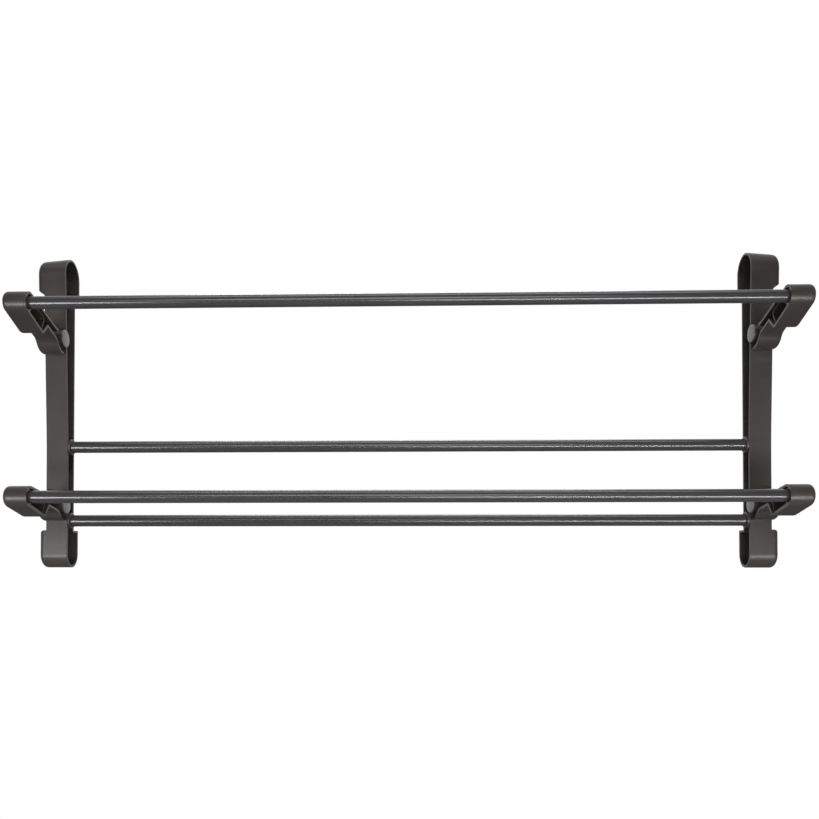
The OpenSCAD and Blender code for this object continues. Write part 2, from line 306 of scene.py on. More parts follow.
@dataclass(frozen=True)
class Finish:
    """A surface finish: its colours, gloss and the strength of its fine relief."""

    name: str
    slot: str
    colour: tuple[float, float, float]
    second: tuple[float, float, float]
    rubbed: tuple[float, float, float]
    roughness: float
    spread: float
    grain_scale: float
    grain_depth: float
    metallic: float = 0.0
    coat: float = 0.0
    coat_roughness: float = 0.2
    wear: float = 0.2
    line_scale: float = 160.0
    dust: float = 0.05
    specular: float = 0.5

    def material(self, groups: dict[str, bpy.types.NodeTree]) -> bpy.types.Material:
        """Builds the material.

        Args:
            groups: The shared node groups by name.

        Returns:
            The material.
        """
        made = bpy.data.materials.new(self.name)
        made.use_nodes = True
        tree = made.node_tree
        shader = tree.nodes["Principled BSDF"]
        shader.inputs["Metallic"].default_value = self.metallic
        shader.inputs["Coat Weight"].default_value = self.coat
        shader.inputs["Coat Roughness"].default_value = self.coat_roughness
        shader.inputs["Specular IOR Level"].default_value = self.specular
        links = {
            "Colour": (*self.colour, 1.0), "Second colour": (*self.second, 1.0), "Dust": self.dust
        }
        tone = add_node(tree, "ShaderNodeGroup", links, node_tree=groups["tone"])
        links = {"Amount": self.wear, "Line scale": self.line_scale}
        wear = add_node(tree, "ShaderNodeGroup", links, node_tree=groups["wear"])
        links = {
            "Grain scale": self.grain_scale, "Roughness": self.roughness,
            "Roughness spread": self.spread,
        }
        grain = add_node(tree, "ShaderNodeGroup", links, node_tree=groups["grain"])
        rubbed = mixed(tree, wear.outputs["Mask"], tone.outputs[0], (*self.rubbed, 1.0))
        tree.links.new(rubbed, shader.inputs["Base Color"])
        tree.links.new(grain.outputs["Roughness"], shader.inputs["Roughness"])
        links = {"Height": grain.outputs["Height"], "Strength": 0.35, "Distance": self.grain_depth}
        bump = add_node(tree, "ShaderNodeBump", links)
        tree.links.new(bump.outputs[0], shader.inputs["Normal"])
        return made


MOULDED = Finish(
    "moulded_charcoal", "moulded_plastic", (0.030, 0.0262, 0.0242), (0.040, 0.0355, 0.033),
    (0.072, 0.066, 0.062), 0.40, 0.12, 2600.0, 0.00003, wear=0.22, dust=0.05,
)
HINGE_CAP = Finish(
    "polished_cap", "moulded_plastic", (0.105, 0.101, 0.100), (0.125, 0.120, 0.118),
    (0.17, 0.165, 0.16), 0.30, 0.08, 3200.0, 0.00001, wear=0.2, dust=0.03,
)
RAIL_COAT = Finish(
    "rail_coat", "rail_paint", (0.052, 0.050, 0.053), (0.060, 0.058, 0.061),
    (0.085, 0.083, 0.085), 0.25, 0.06, 1500.0, 0.000001, metallic=0.35, coat=0.2, wear=0.06,
    line_scale=900.0, dust=0.02,
)
ZINC = Finish(
    "zinc_plate", "steel", (0.52, 0.52, 0.54), (0.60, 0.60, 0.61), (0.72, 0.72, 0.72),
    0.30, 0.12, 1800.0, 0.00002, metallic=1.0, wear=0.5, line_scale=420.0, dust=0.08,
)
NYLON = Finish(
    "natural_nylon", "nylon", (0.74, 0.72, 0.66), (0.80, 0.78, 0.73), (0.86, 0.85, 0.82),
    0.45, 0.1, 1400.0, 0.00003, wear=0.15, dust=0.05,
)


# ------------------------------------------------------------------ shaping tools


def spot(x: float, p: Point) -> Vector:
    """A side sketch's point at a place across the rack."""
    return Vector((x, -p[0], p[1]))


def polar(r: float, angle: float) -> Point:
    """The point at a radius and an angle."""
    return (r * cos(angle), r * sin(angle))


def crossing(n1: Point, k1: float, n2: Point, k2: float) -> Point:
    """Where the lines p * n1 = k1 and p * n2 = k2 cross."""
    det = n1[0] * n2[1] - n1[1] * n2[0]
    return ((k1 * n2[1] - k2 * n1[1]) / det, (n1[0] * k2 - n2[0] * k1) / det)


def dot(a: Point, b: Point) -> float:
    """The scalar product of two sketch points."""
    return a[0] * b[0] + a[1] * b[1]


def angle_of(p: Point) -> float:
    """The direction of a sketch point, in radians."""
    return atan2(p[1], p[0])


def verts_in(geom: Iterable) -> list[bmesh.types.BMVert]:
    """The vertices among an operator's results."""
    return [g for g in geom if isinstance(g, bmesh.types.BMVert)]


def edges_in(geom: Iterable) -> list[bmesh.types.BMEdge]:
    """The edges among an operator's results."""
    return [g for g in geom if isinstance(g, bmesh.types.BMEdge)]


def faces_in(geom: Iterable) -> list[bmesh.types.BMFace]:
    """The faces among an operator's results."""
    return [g for g in geom if isinstance(g, bmesh.types.BMFace)]


class Pen:
    """Draws an outline in a plane across the rack, stroke by stroke, with mesh operators."""

    def __init__(self, bm: bmesh.types.BMesh, x: float, start: Point) -> None:
        """Puts the pen down.

        Args:
            bm: The mesh to draw in.
            x: The plane's place across the rack.
            start: The first point.
        """
        self.bm, self.x = bm, x
        self.first = bm.verts.new(spot(x, start))
        self.tip = self.first
        self.edges: list[bmesh.types.BMEdge] = []

    def line(self, to: Point) -> bmesh.types.BMVert:
        """Draws a straight stroke and returns its end."""
        made = bmesh.ops.extrude_vert_indiv(self.bm, verts=[self.tip])
        self.edges += made["edges"]
        self.tip = made["verts"][0]
        self.tip.co = spot(self.x, to)
        return self.tip

    def arc(self, centre: Point, sweep: float) -> bmesh.types.BMVert:
        """Draws an arc and returns its end.

        Args:
            centre: The arc's centre.
            sweep: Its angle in radians, positive anticlockwise.

        Returns:
            The last vertex.
        """
        before = set(self.bm.edges)
        made = bmesh.ops.spin(
            self.bm, geom=[self.tip], cent=spot(self.x, centre), axis=(-1.0, 0.0, 0.0),
            angle=sweep, steps=max(2, ceil(abs(sweep) / ARC_STEP)), use_merge=False,
        )
        self.tip = verts_in(made["geom_last"])[0]
        self.edges += [e for e in self.bm.edges if e not in before]
        return self.tip

    def close(self) -> list[bmesh.types.BMEdge]:
        """Joins the last point to the first and returns the outline's edges."""
        if (self.tip.co - self.first.co).length > 0.01:
            self.edges += edges_in(
                bmesh.ops.contextual_create(self.bm, geom=[self.tip, self.first])["edges"]
            )
        else:
            bmesh.ops.weld_verts(self.bm, targetmap={self.tip: self.first})
            self.edges = [e for e in self.edges if e.is_valid]
        return self.edges


def lathe(
    bm: bmesh.types.BMesh, centre: Point, profile: list[Point], steps: int = 64
) -> None:
    """Turns a closed profile about an axis that runs along X.

    Args:
        bm: The mesh that takes the shape.
        centre: The axis in the side sketch.
        profile: Points as (radius, place along X); the last joins the first.
        steps: Facets round the axis.
    """
    own = bmesh.new()
    rim = [own.verts.new(spot(x, (centre[0] + r, centre[1]))) for r, x in profile]
    for i, v in enumerate(rim):
        if profile[i][0] > 0 or profile[i - 1][0] > 0:
            own.edges.new((rim[i - 1], v))
    bmesh.ops.spin(
        own, geom=[*own.verts, *own.edges], cent=spot(0, centre), axis=(1.0, 0.0, 0.0),
        angle=2 * pi, steps=steps, use_merge=True,
    )
    bmesh.ops.remove_doubles(own, verts=own.verts, dist=1e-4)
    bmesh.ops.dissolve_degenerate(own, edges=own.edges, dist=1e-4)
    bmesh.ops.recalc_face_normals(own, faces=own.faces)
    pour(own, bm)


def pour(source: bmesh.types.BMesh, target: bmesh.types.BMesh) -> None:
    """Adds one mesh to another and frees the first."""
    held = bpy.data.meshes.new("held")
    source.to_mesh(held)
    source.free()
    target.from_mesh(held)
    bpy.data.meshes.remove(held)


def sink(
    bm: bmesh.types.BMesh, face: bmesh.types.BMFace, holes: list[tuple[Vector, float, float]]
) -> None:
    """Cuts round holes or recesses in a flat face.

    Args:
        bm: The mesh.
        face: The flat face that takes the holes.
        holes: Each hole's centre, radius and depth; depth 0 leaves it open.
    """
    normal, edges = face.normal.copy(), list(face.edges)
    turn = Vector((0, 0, 1)).rotation_difference(normal).to_matrix().to_4x4()
    bmesh.ops.delete(bm, geom=[face], context="FACES_ONLY")
    rings = []
    for centre, radius, _ in holes:
        made = bmesh.ops.create_circle(
            bm, cap_ends=False, segments=48, radius=radius,
            matrix=Matrix.Translation(centre) @ turn,
        )
        ring = {e for v in made["verts"] for e in v.link_edges}
        rings.append(list(ring))
    rim = edges + [e for ring in rings for e in ring]
    bmesh.ops.triangle_fill(bm, use_beauty=True, use_dissolve=True, edges=rim, normal=normal)
    for ring, (_, _, depth) in zip(rings, holes):
        if depth:
            made = bmesh.ops.extrude_edge_only(bm, edges=ring)["geom"]
            bmesh.ops.translate(bm, verts=verts_in(made), vec=-normal * depth)
            bmesh.ops.contextual_create(bm, geom=edges_in(made))


@dataclass
class Piece:
    """A finished piece: where it goes, what it rides on and what it stands for."""

    name: str
    finish: Finish
    body: str
    replaces: tuple[str, ...] = ()
    wall: float = 0.0
    edge: float = 0.0
    smooth_angle: float = radians(32)

    def build(
        self, bm: bmesh.types.BMesh, side: Side, dress: dict[str, bpy.types.Material]
    ) -> bpy.types.Object:
        """Makes the object from a mesh drawn for the right-hand side, in millimetres.

        Args:
            bm: The mesh; it is freed.
            side: The half that the piece is for.
            dress: Materials by finish name.

        Returns:
            The object, riding on its body.
        """
        if side is Side.LEFT:
            bmesh.ops.scale(bm, vec=(-1, 1, 1), verts=bm.verts)
            bmesh.ops.reverse_faces(bm, faces=bm.faces)
        bmesh.ops.scale(bm, vec=(MM, MM, MM), verts=bm.verts)
        bm.normal_update()
        for e in bm.edges:
            e.smooth = len(e.link_faces) != 2 or e.calc_face_angle(0.0) < self.smooth_angle
        for f in bm.faces:
            f.smooth = True
        mesh = bpy.data.meshes.new(self.name)
        bm.to_mesh(mesh)
        bm.free()
        obj = bpy.data.objects.new(self.name, mesh)
        bpy.context.scene.collection.objects.link(obj)
        mesh.materials.append(dress[self.finish.name])
        if self.wall:
            walls = obj.modifiers.new("wall", "SOLIDIFY")
            walls.thickness, walls.offset = self.wall * MM, -1.0
            walls.use_even_offset = True
        if self.edge:
            rounds = obj.modifiers.new("edge", "BEVEL")
            rounds.width, rounds.segments, rounds.profile = self.edge * MM, 2, 0.5
            rounds.limit_method, rounds.angle_limit = "ANGLE", radians(38)
            rounds.harden_normals = True
        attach(obj, self.body)
        if self.replaces:
            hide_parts(*self.replaces)
        log.info("%s: %d faces on %s", self.name, len(mesh.polygons), self.body)
        return obj


# ------------------------------------------------------------------ uprights


@dataclass
class Upright:
    """One moulded upright: a hollow channel with a foot at each end and the seats inside."""

    sizes: Sizes
    dress: dict[str, bpy.types.Material]
    wall: float = 2.5
    wall_gap: float = 12.0
    lower_depth: float = 30.0
    bend_r: float = 600.0
    bend_rise: float = 135.0
    lean: float = radians(2.9)
    foot_round: float = 5.0
    draft: float = radians(5.5)
    wall_hole_r: float = 2.75
    wall_hole_inset: float = 29.0
    wall_hole_side: float = 11.5
    boss_r: float = 8.85
    boss_proud: float = 2.2
    seat_x: float = 388.0
    ear_r: float = 9.4
    cap_pocket_r: float = 7.03
    pin_bore_r: float = 3.03

    @property
    def bend_z(self) -> float:
        """The height at which the front face's slow bend starts, and of the bend's centre."""
        return self.bend_rise - self.sizes.half_height - self.bend_r * tan(self.lean / 2)

    @property
    def lean_z(self) -> float:
        """The height at which the bend ends and the straight lean starts."""
        return self.bend_z + self.bend_r * sin(self.lean)

    def front_depth(self, z: float) -> float:
        """The front face's distance from the wall at a height above the bend."""
        lean_d = self.lower_depth + self.bend_r - self.bend_r * cos(self.lean)
        return lean_d + (z - self.lean_z) * tan(self.lean)

    def outline(self, bm: bmesh.types.BMesh) -> list[bmesh.types.BMFace]:
        """Draws the side outline in the plane of the web's outer face.

        Args:
            bm: The mesh to draw in.

        Returns:
            The faces of the upper foot, the web and the lower foot.
        """
        size = self.sizes
        half, step, lean = size.half_height, size.foot_step, self.lean
        level_front = self.front_depth(0.0)
        top_r = (level_front * cos(lean) + half * sin(lean)) / (1 + cos(lean) + sin(lean))
        low_r = self.lower_depth / 2
        pen = Pen(bm, size.web_x, (self.wall_gap, step))
        corner_top = pen.first
        pen.line((0.0, step))
        pen.line((0.0, half - top_r))
        pen.arc((top_r, half - top_r), -(pi + lean))
        front_top = pen.line((self.front_depth(step), step))
        pen.line((self.front_depth(self.lean_z), self.lean_z))
        pen.arc((self.lower_depth + self.bend_r, self.bend_z), lean)
        front_low = pen.line((self.lower_depth, -step))
        pen.line((self.lower_depth, low_r - half))
        pen.arc((low_r, low_r - half), -pi)
        pen.line((0.0, -step))
        corner_low = pen.line((self.wall_gap, -step))
        whole = faces_in(bmesh.ops.contextual_create(bm, geom=pen.close())["faces"])
        bmesh.ops.recalc_face_normals(bm, faces=whole)
        for pair in ((corner_top, front_top), (corner_low, front_low)):
            bmesh.ops.connect_verts(bm, verts=list(pair))
        return sorted(bm.faces, key=lambda f: -f.calc_center_median().z)

    def shell(self) -> bmesh.types.BMesh:
        """The channel with both feet, open towards the middle of the rack."""
        size = self.sizes
        bm = bmesh.new()
        upper_foot, web, lower_foot = self.outline(bm)
        made = bmesh.ops.extrude_face_region(bm, geom=[upper_foot, lower_foot])["geom"]
        shift = (size.outer_x - size.web_x, 0, 0)
        bmesh.ops.translate(bm, verts=verts_in(made), vec=shift)
        bmesh.ops.delete(
            bm, geom=[f for f in (upper_foot, lower_foot) if f.is_valid], context="FACES_ONLY"
        )
        open_edges = [e for e in bm.edges if len(e.link_faces) == 1]
        sides = bmesh.ops.extrude_edge_only(bm, edges=open_edges)["geom"]
        bmesh.ops.translate(bm, verts=verts_in(sides), vec=(size.inner_x - size.web_x, 0, 0))
        bmesh.ops.recalc_face_normals(bm, faces=bm.faces)
        outside = [e for e in bm.edges if all(abs(v.co.x - size.outer_x) < 0.01 for v in e.verts)]
        bmesh.ops.bevel(
            bm, geom=outside, offset=self.foot_round, offset_type="OFFSET", segments=6,
            profile=0.5, affect="EDGES", clamp_overlap=False, material=-1,
        )
        self.drill(bm)
        self.slope_crest(bm)
        return bm

    def drill(self, bm: bmesh.types.BMesh) -> None:
        """Opens the wall screw holes in the backs of the feet and the screw recesses outside."""
        size = self.sizes
        across = size.outer_x - self.wall_hole_side
        height = size.half_height - self.wall_hole_inset
        for sign in (1, -1):
            back = [
                f for f in bm.faces
                if f.normal.y > 0.99 and f.calc_center_median().z * sign > size.foot_step
                and all(abs(v.co.y) < 0.01 for v in f.verts)
            ]
            joined = bmesh.ops.dissolve_faces(bm, faces=back, use_verts=False)["region"]
            centre = Vector((across, 0.0, sign * height))
            sink(bm, faces_in(joined)[0], [(centre, self.wall_hole_r, 0.0)])
        web = max(
            (f for f in bm.faces if f.normal.x > 0.99
             and abs(f.calc_center_median().x - size.web_x) < 0.01),
            key=lambda f: f.calc_area(),
        )
        sink(bm, web, [
            (spot(size.web_x, (size.rear_rail_d, z)), size.recess_r, size.recess_depth)
            for z in size.rear_rail_heights
        ])

    def slope_crest(self, bm: bmesh.types.BMesh) -> None:
        """Lets the upper foot's crest fall away towards the outside, as its draft does."""
        size = self.sizes
        for v in bm.verts:
            rise = (v.co.z - size.foot_step) / (size.half_height - size.foot_step)
            if rise > 0:
                v.co.z -= tan(self.draft) * (v.co.x - size.inner_x) * rise ** 2

    def seats(self) -> bmesh.types.BMesh:
        """The bosses that hold the rear rails and the ears that hold the hinge pins."""
        size = self.sizes
        bm = bmesh.new()
        bore, hole = size.rail_r + size.rail_slack, size.screw_hole_r
        inner, back = size.inner_x, size.web_x - 1.0
        for z in size.rear_rail_heights:
            low = inner - self.boss_proud
            lathe(bm, (size.rear_rail_d, z), [
                (bore, low + 0.5), (bore + 0.5, low), (self.boss_r - 0.8, low),
                (self.boss_r - 0.2, low + 0.3), (self.boss_r, low + 0.9), (self.boss_r, back),
                (hole, back), (hole, self.seat_x), (bore, self.seat_x),
            ])
        pocket, bore = self.cap_pocket_r, self.pin_bore_r
        for level in Level:
            lathe(bm, size.pivot(level), [
                (pocket, inner + 0.2), (pocket + 0.2, inner), (self.ear_r - 0.3, inner),
                (self.ear_r, inner + 0.3), (self.ear_r, size.web_x - 0.4),
                (self.ear_r - 0.4, size.web_x), (bore, size.web_x), (bore, inner + 4.0),
                (pocket, inner + 4.0),
            ])
        return bm

    def build(self, side: Side) -> None:
        """Makes the upright of one side."""
        word = side.name.lower()
        Piece(
            f"{word}_upright_shell", MOULDED, "frame", (f"{word}_upright",), self.wall, 0.45
        ).build(self.shell(), side, self.dress)
        Piece(f"{word}_upright_seats", MOULDED, "frame").build(self.seats(), side, self.dress)


# ------------------------------------------------------------------ arms


@dataclass
class Arm:
    """One hinged arm, drawn level with its pin at the origin and then tilted into place."""

    sizes: Sizes
    dress: dict[str, bpy.types.Material]
    wall: float = 2.4
    inset: float = 1.5
    cheek_x: float = 393.8
    head_r: float = 11.0
    lobe_r: float = 17.0
    heel_r: float = 6.0
    neck_r: float = 12.0
    notch: Point = (38.3, -5.3)
    upper_slope: float = radians(6.6)
    lower_slope: float = radians(10.8)
    notch_slope: float = radians(52)
    neck_slope: float = radians(8)
    open_tilt: float = radians(2.4)
    stand_off: float = 3.0
    outer_round: float = 4.5
    rib_wall: float = 1.2
    socket_end: float = 390.7
    rib_back: Point = (47.9, -0.6)
    normals: dict[str, Point] = field(init=False)
    reaches: dict[str, float] = field(init=False)

    def __post_init__(self) -> None:
        """Works out the straight edges' outward normals and distances from the pin."""
        self.normals = {
            "upper": (-sin(self.upper_slope), cos(self.upper_slope)),
            "lower": (sin(self.lower_slope), -cos(self.lower_slope)),
            "notch": (-sin(self.notch_slope), -cos(self.notch_slope)),
            "neck": (sin(self.neck_slope), -cos(self.neck_slope)),
        }
        head = (self.sizes.arm_reach, 0.0)
        self.reaches = {
            "upper": dot(head, self.normals["upper"]) + self.head_r,
            "lower": dot(head, self.normals["lower"]) + self.head_r,
            "notch": dot(self.notch, self.normals["notch"]),
            "neck": dot(self.notch, self.normals["neck"]),
        }

    @property
    def heel(self) -> Point:
        """The centre of the heel's round."""
        n, k = self.normals, self.reaches
        return crossing(
            n["lower"], k["lower"] - self.heel_r, n["notch"], k["notch"] - self.heel_r
        )

    def outline(self, bm: bmesh.types.BMesh, x: float) -> list[bmesh.types.BMEdge]:
        """Draws the arm's outline anticlockwise, from the top of the lobe.

        Args:
            bm: The mesh to draw in.
            x: The plane's place across the rack.

        Returns:
            The outline's edges.
        """
        n, k, lobe = self.normals, self.reaches, self.lobe_r
        out = k["neck"] + self.neck_r
        along = sqrt((lobe + self.neck_r) ** 2 - out ** 2)
        neck = (
            out * n["neck"][0] + along * cos(self.neck_slope),
            out * n["neck"][1] + along * sin(self.neck_slope),
        )
        start = angle_of(n["upper"]) - acos(k["upper"] / lobe)
        pen = Pen(bm, x, polar(lobe, start))
        pen.arc((0.0, 0.0), 2 * pi + angle_of(neck) - start)
        sweep = angle_of((-n["neck"][0], -n["neck"][1])) - angle_of((-neck[0], -neck[1]))
        pen.arc(neck, sweep)
        pen.line(self.notch)
        heel, turn = self.heel, angle_of(n["lower"]) - angle_of(n["notch"])
        first = polar(self.heel_r, angle_of(n["notch"]))
        pen.line((heel[0] + first[0], heel[1] + first[1]))
        pen.arc(heel, turn)
        head = (self.sizes.arm_reach, 0.0)
        first = polar(self.head_r, angle_of(n["lower"]))
        pen.line((head[0] + first[0], head[1] + first[1]))
        pen.arc(head, angle_of(n["upper"]) - angle_of(n["lower"]))
        return pen.close()

    def shell(self) -> bmesh.types.BMesh:
        """The arm's outer plate and the wall round it, open towards the middle of the rack."""
        size = self.sizes
        bm = bmesh.new()
        rim = self.outline(bm, size.arm_x)
        plate = faces_in(bmesh.ops.contextual_create(bm, geom=rim)["faces"])[0]
        band = bmesh.ops.extrude_edge_only(bm, edges=list(plate.edges))["geom"]
        shift = size.inner_x + self.inset - size.arm_x
        bmesh.ops.translate(bm, verts=verts_in(band), vec=(shift, 0, 0))
        bmesh.ops.recalc_face_normals(bm, faces=bm.faces)
        outside = [e for e in bm.edges if all(abs(v.co.x - size.arm_x) < 0.01 for v in e.verts)]
        bmesh.ops.bevel(
            bm, geom=outside, offset=self.outer_round, offset_type="OFFSET", segments=6,
            profile=0.5, affect="EDGES", clamp_overlap=False, material=-1,
        )
        self.clear_swing(bm)
        plate = max((f for f in bm.faces if f.normal.x > 0.99), key=lambda f: f.calc_area())
        rail_end = spot(size.arm_x, (size.arm_reach, 0))
        sink(bm, plate, [(rail_end, size.recess_r, size.recess_depth)])
        return bm

    def clear_swing(self, bm: bmesh.types.BMesh) -> None:
        """Cuts the wall back where the upright stands at any angle from open to folded."""
        folded = pi / 2 - self.upper_slope
        normals = [(-cos(a), sin(a)) for a in (self.open_tilt, folded)]
        cuts = [((self.cheek_x, 0.0, 0.0), (1.0, 0.0, 0.0))]
        cuts += [
            (spot(0, (n[0] * self.stand_off, n[1] * self.stand_off)), spot(0, n)) for n in normals
        ]
        for place, way in cuts:
            bmesh.ops.bisect_plane(
                bm, geom=[*bm.verts, *bm.edges, *self.inner(bm, 1.0)], plane_co=place,
                plane_no=way, dist=1e-4,
            )
        behind = [
            f for f in self.inner(bm, 0.0)
            if any(
                dot((-f.calc_center_median().y, f.calc_center_median().z), n) > self.stand_off
                for n in normals
            )
        ]
        bmesh.ops.delete(bm, geom=behind, context="FACES")

    def inner(self, bm: bmesh.types.BMesh, reach: float) -> list[bmesh.types.BMFace]:
        """The faces whose middle lies on the inner side of the cheek, or up to reach past it."""
        return [f for f in bm.faces if f.calc_center_median().x < self.cheek_x + reach]

    def insides(self) -> bmesh.types.BMesh:
        """The stiffening rib and the rail's socket."""
        size = self.sizes
        bm = bmesh.new()
        back = size.arm_x - 1.6
        low = size.inner_x + self.inset
        bore, hole = size.rail_r + size.rail_slack, size.screw_hole_r
        floor = self.socket_end
        lathe(bm, (size.arm_reach, 0.0), [
            (bore, low + 2.4), (bore + 0.4, low + 2.0), (8.0, low + 2.0), (8.35, low + 2.3),
            (8.35, back), (hole, back), (hole, floor), (bore, floor),
        ])
        rib = bmesh.new()
        posts = [(self.heel, 3.0), ((size.arm_reach, 0.0), self.head_r - 4.2), (self.rib_back, 4.0)]
        pen: Pen | None = None
        for i, (centre, r) in enumerate(posts):
            turns = []
            for (a, ra), (b, rb) in ((posts[i - 1], posts[i]), (posts[i], posts[(i + 1) % 3])):
                way = (b[0] - a[0], b[1] - a[1])
                turns.append(angle_of(way) - acos((ra - rb) / hypot(*way)))
            entry = polar(r, turns[0])
            entry = (centre[0] + entry[0], centre[1] + entry[1])
            if pen is None:
                pen = Pen(rib, low + 2.0, entry)
            else:
                pen.line(entry)
            pen.arc(centre, (turns[1] - turns[0]) % (2 * pi))
        made = bmesh.ops.extrude_edge_only(rib, edges=pen.close())["geom"]
        bmesh.ops.translate(rib, verts=verts_in(made), vec=(back - low - 2.0, 0, 0))
        bmesh.ops.recalc_face_normals(rib, faces=rib.faces)
        bmesh.ops.solidify(rib, geom=rib.faces[:], thickness=self.rib_wall)
        bmesh.ops.recalc_face_normals(rib, faces=rib.faces)
        pour(rib, bm)
        return bm

    def build(self, side: Side, level: Level) -> None:
        """Makes one arm of a pair."""
        size, name = self.sizes, f"{side.name.lower()}_{level.word}_arm"
        place = Matrix.Translation(spot(0, size.pivot(level)))
        place = place @ Matrix.Rotation(-size.tilt(level), 4, "X")
        shell, insides = self.shell(), self.insides()
        for bm in (shell, insides):
            bmesh.ops.transform(bm, matrix=place, verts=bm.verts)
        Piece(f"{name}_shell", MOULDED, level.value, (name,), self.wall, 0.4).build(
            shell, side, self.dress
        )
        Piece(f"{name}_insides", MOULDED, level.value, (), 0.0, 0.25).build(
            insides, side, self.dress
        )


# ------------------------------------------------------------------ hinge and tube hardware


@dataclass
class Hinge:
    """The domed cap and the turned pin of one hinge."""

    sizes: Sizes
    dress: dict[str, bpy.types.Material]
    cap_r: float = 9.3
    cap_t: float = 1.6

    def cap(self, pivot: Point) -> bmesh.types.BMesh:
        """A crowned disc with a rounded rim and a skirt."""
        bm = bmesh.new()
        face = self.sizes.inner_x - 0.05
        r, t = self.cap_r, self.cap_t
        lathe(bm, pivot, [
            (0.0, face), (5.9, face), (5.9, face + 2.4), (7.0, face + 2.4), (7.0, face),
            (r, face), (r, face - t + 0.85), (r - 0.12, face - t + 0.62),
            (r - 0.4, face - t + 0.5), (r - 1.2, face - t + 0.42), (r * 0.6, face - t + 0.15),
            (r * 0.3, face - t + 0.04), (0.0, face - t),
        ], 96)
        return bm

    def pin(self, pivot: Point) -> bmesh.types.BMesh:
        """A domed pin head on its shank, with a turned ring in the head."""
        bm = bmesh.new()
        seat = self.sizes.arm_x + 0.1
        end = self.sizes.inner_x + 1.8
        lathe(bm, pivot, [
            (0.0, end), (2.6, end), (3.0, end + 0.4), (3.0, seat), (6.0, seat),
            (6.0, seat + 1.1), (5.7, seat + 1.55), (4.9, seat + 1.8), (3.6, seat + 1.92),
            (3.4, seat + 1.75), (3.1, seat + 1.75), (2.9, seat + 1.95), (0.0, seat + 2.0),
        ])
        return bm

    def build(self, side: Side, level: Level) -> None:
        """Makes the hinge's cap and pin; its washer and push nut stay as CAD nodes."""
        stem = f"{side.name.lower()}_{level.word}"
        pivot = self.sizes.pivot(level)
        Piece(
            f"{stem}_domed_cap", HINGE_CAP, "frame", (f"{stem}_cap",), smooth_angle=radians(50)
        ).build(self.cap(pivot), side, self.dress)
        Piece(
            f"{stem}_turned_pin", ZINC, "frame", (f"{stem}_pin",), smooth_angle=radians(50)
        ).build(self.pin(pivot), side, self.dress)


@dataclass
class Rail:
    """One tube with the screws in its ends; its plugs stay as CAD nodes."""

    sizes: Sizes
    dress: dict[str, bpy.types.Material]
    wall: float = 1.2
    floor_t: float = 3.0
    end_gap: float = 0.2

    def tube(self, p: Point, end: float) -> bmesh.types.BMesh:
        """A round tube with broken edges at both ends."""
        bm = bmesh.new()
        r, bore, chamfer = self.sizes.rail_r, self.sizes.rail_r - self.wall, 0.3
        lathe(bm, p, [
            (bore, -end), (r - chamfer, -end), (r, -end + chamfer), (r, end - chamfer),
            (r - chamfer, end), (bore, end),
        ], 96)
        return bm

    def screw(self, p: Point, seat: float) -> bmesh.types.BMesh:
        """A pan-head screw with a raised cross in its dished head, on a plain shank."""
        bm = bmesh.new()
        lathe(bm, p, [
            (0.0, seat - 14.0), (1.5, seat - 13.0), (1.9, seat - 12.4), (1.9, seat), (4.0, seat),
            (4.0, seat + 1.0), (3.8, seat + 1.5), (3.2, seat + 1.95), (2.4, seat + 2.15),
            (2.2, seat + 2.15), (1.2, seat + 1.0), (0.0, seat + 0.8),
        ], 48)
        for turn in (0.0, pi / 2):
            bar = bmesh.ops.create_cube(
                bm, size=1.0,
                matrix=Matrix.Translation(spot(seat + 1.5, p)) @ Matrix.Rotation(turn, 4, "X")
                @ Matrix.Diagonal((1.0, 0.7, 3.0, 1.0)),
            )
            edges = {e for v in bar["verts"] for e in v.link_edges}
            bmesh.ops.bevel(
                bm, geom=list(edges), offset=0.12, offset_type="OFFSET", segments=2,
                profile=0.5, affect="EDGES", clamp_overlap=True, material=-1,
            )
        return bm

    def build(self, stem: str, body: str, p: Point, floor: float) -> None:
        """Makes the tube and both its screws.

        Args:
            stem: The rail's name in node names, such as upper_front.
            body: The body that it moves with.
            p: The tube's axis in the side sketch.
            floor: Where the tube's seat ends, across the rack.
        """
        Piece(f"{stem}_tube", RAIL_COAT, body, (f"{stem}_rail",)).build(
            self.tube(p, floor - self.end_gap), Side.RIGHT, self.dress
        )
        for side in Side:
            stands_for = (f"{stem}_screws",) if side is Side.LEFT else ()
            Piece(f"{stem}_{side.name.lower()}_screw", ZINC, body, stands_for).build(
                self.screw(p, floor + self.floor_t), side, self.dress
            )


# ------------------------------------------------------------------ studio


@dataclass(frozen=True)
class Softbox:
    """A soft rectangular light."""

    name: str
    place: tuple[float, float, float]
    aim: tuple[float, float, float]
    width: float
    height: float
    watts: float

    def build(self) -> None:
        """Puts the light in the scene."""
        data = bpy.data.lights.new(self.name, "AREA")
        data.shape, data.size, data.size_y = "RECTANGLE", self.width, self.height
        data.energy = self.watts
        lamp = bpy.data.objects.new(self.name, data)
        lamp.location = self.place
        way = Vector(self.aim) - Vector(self.place)
        lamp.rotation_euler = way.to_track_quat("-Z", "Y").to_euler()
        bpy.context.scene.collection.objects.link(lamp)


